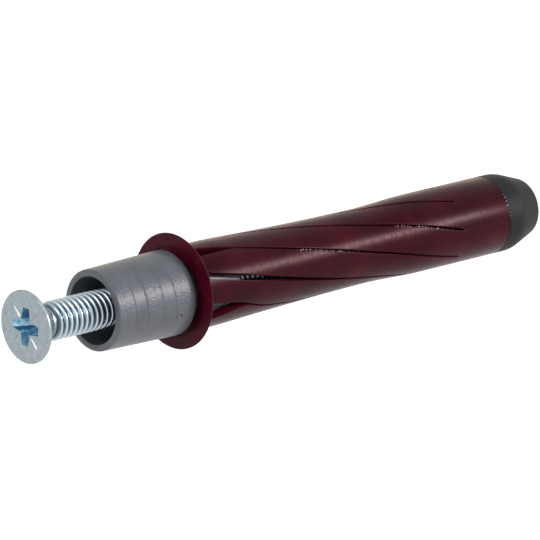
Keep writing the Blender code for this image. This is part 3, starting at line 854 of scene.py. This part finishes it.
def sleeveTree(values):
    tree, given = newTree("rolledSleeve", values)
    flat = addNode(tree, "ShaderNodeSeparateXYZ", inputs={0: addNode(tree, "GeometryNodeInputPosition")})
    offset, place, height = flat.outputs
    # Radius: the neck falls to the waist, and the waist rises to the tail
    neckShare = addNode(tree, "ShaderNodeMapRange",
                        inputs={0: place, 1: given["Waist Place"], 2: given["Neck Length"]})
    fall = addNode(tree, "ShaderNodeMath", {"operation": "POWER"},
                   {0: neckShare, 1: given["Waist Curve"]})
    neckRise = addNode(tree, "ShaderNodeMath", {"operation": "SUBTRACT"},
                       {0: given["Neck Radius"], 1: given["Waist Radius"]})
    neckPart = addNode(tree, "ShaderNodeMath", {"operation": "MULTIPLY"}, {0: fall, 1: neckRise})
    tailShare = addNode(tree, "ShaderNodeMapRange", {"interpolation_type": "SMOOTHSTEP"},
                        {0: place, 1: given["Waist Place"], 2: given["Tail Start"]})
    tailRise = addNode(tree, "ShaderNodeMath", {"operation": "SUBTRACT"},
                       {0: given["Tail Radius"], 1: given["Waist Radius"]})
    tailPart = addNode(tree, "ShaderNodeMath", {"operation": "MULTIPLY"}, {0: tailShare, 1: tailRise})
    both = addNode(tree, "ShaderNodeMath", {"operation": "ADD"}, {0: neckPart, 1: tailPart})
    skin = addNode(tree, "ShaderNodeMath", {"operation": "ADD"}, {0: both, 1: given["Waist Radius"]})
    radius = addNode(tree, "ShaderNodeMath", {"operation": "ADD"}, {0: skin, 1: height})
    # Twist: the slots turn a little faster towards the tail
    held = addNode(tree, "ShaderNodeClamp",
                   inputs={"Value": place, "Min": given["Slot Start"], "Max": given["Slot End"]})
    along = addNode(tree, "ShaderNodeMath", {"operation": "SUBTRACT"}, {0: held, 1: given["Slot Start"]})
    length = addNode(tree, "ShaderNodeMath", {"operation": "SUBTRACT"},
                     {0: given["Slot End"], 1: given["Slot Start"]})
    gain = addNode(tree, "ShaderNodeMath", {"operation": "SUBTRACT"},
                   {0: given["Twist Far"], 1: given["Twist Near"]})
    halfShare = addNode(tree, "ShaderNodeMath", {"operation": "DIVIDE"}, {0: along, 1: length})
    meanGain = addNode(tree, "ShaderNodeMath", {"operation": "MULTIPLY"}, {0: gain, 1: halfShare})
    halfGain = addNode(tree, "ShaderNodeMath", {"operation": "MULTIPLY"}, {0: meanGain, 1: 0.5})
    rate = addNode(tree, "ShaderNodeMath", {"operation": "ADD"}, {0: given["Twist Near"], 1: halfGain})
    twist = addNode(tree, "ShaderNodeMath", {"operation": "MULTIPLY"}, {0: rate, 1: along})
    turn = addNode(tree, "GeometryNodeInputNamedAttribute", {"data_type": "FLOAT"}, {"Name": "turn"})
    aside = addNode(tree, "ShaderNodeMath", {"operation": "DIVIDE"}, {0: offset, 1: skin})
    turned = addNode(tree, "ShaderNodeMath", {"operation": "ADD"}, {0: turn, 1: twist})
    shifted = addNode(tree, "ShaderNodeMath", {"operation": "ADD"}, {0: turned, 1: aside})
    angle = addNode(tree, "ShaderNodeMath", {"operation": "ADD"}, {0: shifted, 1: given["Phase"]})
    rolled = rollUp(tree, given["Geometry"], place, radius, angle)
    painted = realAndPainted(tree, rolled, given["Material"])
    # Faces marked for the painted glow get the brighter crimson material
    paintedGlow = addNode(tree, "GeometryNodeInputNamedAttribute", {"data_type": "INT"}, {"Name": "paintedGlow"})
    isPaintedGlow = addNode(tree, "FunctionNodeCompare", {"data_type": "INT", "operation": "EQUAL"},
                     {2: paintedGlow.outputs[0], 3: 1})
    finished = addNode(tree, "GeometryNodeSetMaterial", inputs={
        "Geometry": painted, "Selection": isPaintedGlow, "Material": given["Painted Glow Material"]})
    addNode(tree, "NodeGroupOutput", inputs={0: finished})
    return tree


def makeSleeve(material, paintedGlowMaterial):
    s = sleeveSizes
    values = {
        "Neck Radius": s["neckRadius"], "Neck Length": s["neckLength"], "Waist Radius": s["waistRadius"],
        "Waist Place": s["waistPlace"], "Waist Curve": s["waistCurve"], "Tail Radius": s["tailRadius"],
        "Tail Start": s["end"] - s["tailLength"], "Slot Start": s["slotStart"], "Slot End": s["slotEnd"],
        "Twist Near": s["twistNear"], "Twist Far": s["twistFar"], "Phase": s["phase"],
        "Material": material, "Painted Glow Material": paintedGlowMaterial,
    }
    rolled = runTree(sleeveTree(values), flatSleeve(), values)
    mesh = meshFrom("slottedSleeve", closedCopy(rolled), list(rolled.materials), s["sharpAngle"])
    addPiece("slottedSleeve", mesh, "anchor_shell", "expansion_sleeve")


# Crumbs along two slots and round the sleeve's end, shaped like mould flash; their pale colour paints the
# glints seen there

glintCrumbSizes = {
    "spacing": 0.55 * mm,
    "scatter": 0.08 * mm,
    "crumb": 0.15 * mm,
    "smallest": 0.35,               # share of the crumb's size
    "seed": 5.0,
    "slotRuns": [(0, 20.5 * mm, 29.5 * mm), (7, 41.0 * mm, 49.5 * mm)],
    "endRun": (math.radians(40), math.radians(80)),
    "endInset": 0.04 * mm,
    "endSink": 0.06 * mm,
    "steps": 24,
}


def sleeveSkin(y):
    s = sleeveSizes
    if y < s["waistPlace"]:
        share = min((s["waistPlace"] - y) / (s["waistPlace"] - s["neckLength"]), 1)
        return mix(s["waistRadius"], s["neckRadius"], share ** s["waistCurve"])
    rise = smoothStep(s["waistPlace"], s["end"] - s["tailLength"], y)
    return mix(s["waistRadius"], s["tailRadius"], rise)


def slotAngle(slot, y):
    s = sleeveSizes
    along = y - s["slotStart"]
    gain = (s["twistFar"] - s["twistNear"]) * along / (s["slotEnd"] - s["slotStart"])
    return s["phase"] + slot * 2 * math.pi / s["slots"] + (s["twistNear"] + gain / 2) * along


def glintCrumbPaths():
    f, s = glintCrumbSizes, sleeveSizes
    paths = []
    for slot, start, end in f["slotRuns"]:
        places = [mix(start, end, i / f["steps"]) for i in range(f["steps"] + 1)]
        path = []
        for y in places:
            edge = slotAngle(slot, y) + slotEdges(slot, y)[1] / sleeveSkin(y)
            path.append(onRound(y, sleeveSkin(y) - s["edgeBreak"], edge))
        paths.append(path)
    start, end = f["endRun"]
    turns = [mix(start, end, i / f["steps"]) for i in range(f["steps"] + 1)]
    endPlace, endRadius = s["end"] - f["endInset"], s["tailRadius"] - f["endSink"]
    paths.append([onRound(endPlace, endRadius, turn) for turn in turns])
    bm = bmesh.new()
    for path in paths:
        verts = [bm.verts.new(point) for point in path]
        for near, far in zip(verts, verts[1:]):
            bm.edges.new((near, far))
    mesh = bpy.data.meshes.new("glintCrumbPaths")
    bm.to_mesh(mesh)
    bm.free()
    return mesh


def glintCrumbTree(values):
    tree, given = newTree("crumbsPaintedGlints", values)
    path = addNode(tree, "GeometryNodeMeshToCurve", inputs={"Mesh": given["Geometry"]})
    spaced = addNode(tree, "GeometryNodeResampleCurve", {"mode": "LENGTH"},
                     {"Curve": path, "Length": given["Spacing"]})
    points = addNode(tree, "GeometryNodeCurveToPoints", {"mode": "EVALUATED"}, {"Curve": spaced})
    aside = addNode(tree, "FunctionNodeRandomValue", {"data_type": "FLOAT_VECTOR"},
                    {"Min": (-1, -1, -1), "Max": (1, 1, 1), "Seed": given["Seed"]})
    offset = addNode(tree, "ShaderNodeVectorMath", {"operation": "SCALE"},
                     {0: aside, "Scale": given["Scatter"]})
    spread = addNode(tree, "GeometryNodeSetPosition", inputs={"Geometry": points, "Offset": offset})
    crumb = addNode(tree, "GeometryNodeMeshIcoSphere",
                    inputs={"Radius": given["Crumb"], "Subdivisions": 1})
    size = addNode(tree, "FunctionNodeRandomValue", {"data_type": "FLOAT"},
                   {2: given["Smallest"], 3: 1.0, "Seed": given["Seed"]})
    placed = addNode(tree, "GeometryNodeInstanceOnPoints",
                     inputs={"Points": spread, "Instance": crumb, "Scale": size.outputs[1]})
    addNode(tree, "NodeGroupOutput", inputs={0: realAndPainted(tree, placed, given["Material"])})
    return tree


def makeGlintCrumbs(material):
    f = glintCrumbSizes
    values = {
        "Spacing": f["spacing"], "Scatter": f["scatter"], "Crumb": f["crumb"], "Smallest": f["smallest"],
        "Seed": f["seed"], "Material": material,
    }
    mesh = runTree(glintCrumbTree(values), glintCrumbPaths(), values)
    mesh.name = "crumbsPaintedGlints"
    addPiece("crumbsPaintedGlints", mesh, "anchor_shell", None)


# Black nose

noseSizes = {
    "plugFace": noseLow[1],
    "plugRadius": 5.1 * mm,
    "shoulder": sleeveHigh[1] + 0.02 * mm,
    "radius": noseHigh[0],
    "straight": 3.0 * mm,
    "end": noseHigh[1],
    "endRadius": 4.45 * mm,
    "bore": 3.3 * mm,
    "edgeRounding": 0.1 * mm,
    "plugRounding": 0.2 * mm,
    "coneRounding": 0.9 * mm,
    "endRounding": 0.6 * mm,
    "boreRounding": 0.15 * mm,
    "cornerSteps": 8,
    "segments": 160,
    "sharpAngle": math.radians(40),
}


def makeNose(material):
    s = noseSizes
    corners = [
        (s["plugFace"], s["bore"], s["edgeRounding"]),
        (s["plugFace"], s["plugRadius"], s["plugRounding"]),
        (s["shoulder"], s["plugRadius"], 0),
        (s["shoulder"], s["radius"], s["edgeRounding"]),
        (s["shoulder"] + s["straight"], s["radius"], s["coneRounding"]),
        (s["end"], s["endRadius"], s["endRounding"]),
        (s["end"], s["bore"], s["boreRounding"]),
    ]
    bm = latheMesh(roundedOutline(corners, s["cornerSteps"]), s["segments"])
    closeUp(bm)
    mesh = meshFrom("bluntNose", bm, [material], s["sharpAngle"])
    addPiece("bluntNose", mesh, "anchor_shell", "nose_cap")


# Studio

studioSizes = {
    "floorDrop": 60.0 * mm,         # floor under the axis
    "floorSize": 6.0,
    # Camera fitted to the photograph
    "cameraPlace": (0.72144562, -0.63801782, 0.27094606),
    "cameraForward": (-0.71216085, 0.64886717, -0.26795208),
    "cameraUp": (-0.19806788, 0.18046449, 0.96343224),
    "pixelShift": 0.0753 * mm,      # half a pixel at the object
    "lens": 442.67,
    "sensorWidth": 36.0,
    "clip": (0.01, 50.0),
    "worldStrength": 0.12,          # for the rays that light the anchor; the others see white
    "floorGlow": 0.62,
    "floorMottle": 25 * mm,
    "floorColours": [(0.3, "#f1f1f1"), (0.7, "#f5f5f5")],
    "lampTarget": (0, 0.02, 0),
    # Name, direction from the target, distance, width, height, watts, colour
    "lamps": [
        ("keySoftbox", (0.68, 0.65, 0.34), 1.6, 0.24, 0.24, 17.0, "#fffaff"),
        ("frontSoftbox", (0.1, -0.8, 0.55), 1.5, 0.8, 0.35, 10.0, "#ffffff"),
        ("warmCard", (-0.72, 0.66, 0.12), 1.6, 0.8, 0.4, 1.6, "#c8a068"),
    ],
}


def makeCamera():
    s = studioSizes
    forward = Vector(s["cameraForward"]).normalized()
    right = forward.cross(Vector(s["cameraUp"])).normalized()
    up = right.cross(forward)
    data = bpy.data.cameras.new("photoCamera")
    data.lens = s["lens"]
    data.sensor_width = s["sensorWidth"]
    data.clip_start, data.clip_end = s["clip"]
    camera = bpy.data.objects.new("photoCamera", data)
    turn = Matrix((right, up, -forward)).transposed().to_4x4()
    place = Vector(s["cameraPlace"]) - right * s["pixelShift"] + up * s["pixelShift"]
    camera.matrix_world = Matrix.Translation(place) @ turn
    scene.collection.objects.link(camera)
    scene.camera = camera


def addLamp(name, direction, distance, width, height, watts, hexColour):
    data = bpy.data.lights.new(name, 'AREA')
    data.shape = 'RECTANGLE'
    data.size = width
    data.size_y = height
    data.energy = watts
    data.color = linearColour(hexColour)[:3]
    lamp = bpy.data.objects.new(name, data)
    target = Vector(studioSizes["lampTarget"])
    lamp.location = target + Vector(direction).normalized() * distance
    lamp.rotation_euler = (lamp.location - target).to_track_quat('Z', 'Y').to_euler()
    lamp.visible_camera = False
    scene.collection.objects.link(lamp)


def directlySeen(tree):
    # 1 for rays from the camera, and for those that gloss or glass passes on
    seen = addNode(tree, "ShaderNodeLightPath").outputs
    either = addNode(tree, "ShaderNodeMath", {"operation": "MAXIMUM"},
                     {0: seen["Is Camera Ray"], 1: seen["Is Glossy Ray"]})
    return addNode(tree, "ShaderNodeMath", {"operation": "MAXIMUM"},
                   {0: either, 1: seen["Is Transmission Ray"]})


def makeFloor():
    s = studioSizes
    material, tree, shader, coords = newMaterial("mattWhitePaint", {"Roughness": 0.9})
    clouded(tree, shader, coords, size=s["floorMottle"], detail=2.0, stops=s["floorColours"])
    # A weak glow keeps the floor as white as the sky behind it
    lift = addNode(tree, "ShaderNodeMath", {"operation": "MULTIPLY"},
                   {0: directlySeen(tree), 1: s["floorGlow"]})
    glow = addNode(tree, "ShaderNodeEmission", inputs={"Strength": lift})
    total = addNode(tree, "ShaderNodeAddShader", inputs={0: shader, 1: glow})
    tree.links.new(total.outputs[0], tree.nodes["Material Output"].inputs[0])
    half = s["floorSize"] / 2
    corners = [(-half, -half), (half, -half), (half, half), (-half, half)]
    mesh = bpy.data.meshes.new("paleFloor")
    mesh.from_pydata([(x, y, -s["floorDrop"]) for x, y in corners], [], [(0, 1, 2, 3)])
    mesh.materials.append(material)
    floor = bpy.data.objects.new("paleFloor", mesh)
    scene.collection.objects.link(floor)


def makeWorld():
    s = studioSizes
    world = bpy.data.worlds.new("paleStudio")
    scene.world = world
    world.use_nodes = True
    tree = world.node_tree
    tree.nodes.clear()
    pale = directlySeen(tree)
    strength = addNode(tree, "ShaderNodeMapRange", inputs={0: pale, 3: s["worldStrength"], 4: 1.0})
    sky = addNode(tree, "ShaderNodeBackground", inputs={"Color": (1, 1, 1, 1), "Strength": strength})
    addNode(tree, "ShaderNodeOutputWorld", inputs={0: sky})


print("screw")
makeScrewHead(zincFace(), zincRecess())
makeScrewThread(zincThread())
print("collar")
makeCollar(greyNylon())
print("sleeve")
makeSleeve(redNylon(), redNylonPaintedGlow())
makeGlintCrumbs(paleGlintNylon())
print("nose and nut")
makeNose(blackNylon())
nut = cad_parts["threaded_nut"]
nut.data.materials.clear()
nut.data.materials.append(nutSteel())
print("studio")
makeCamera()
makeFloor()
makeWorld()
for lamp in studioSizes["lamps"]:
    addLamp(*lamp)
scene.view_settings.view_transform = 'Standard'
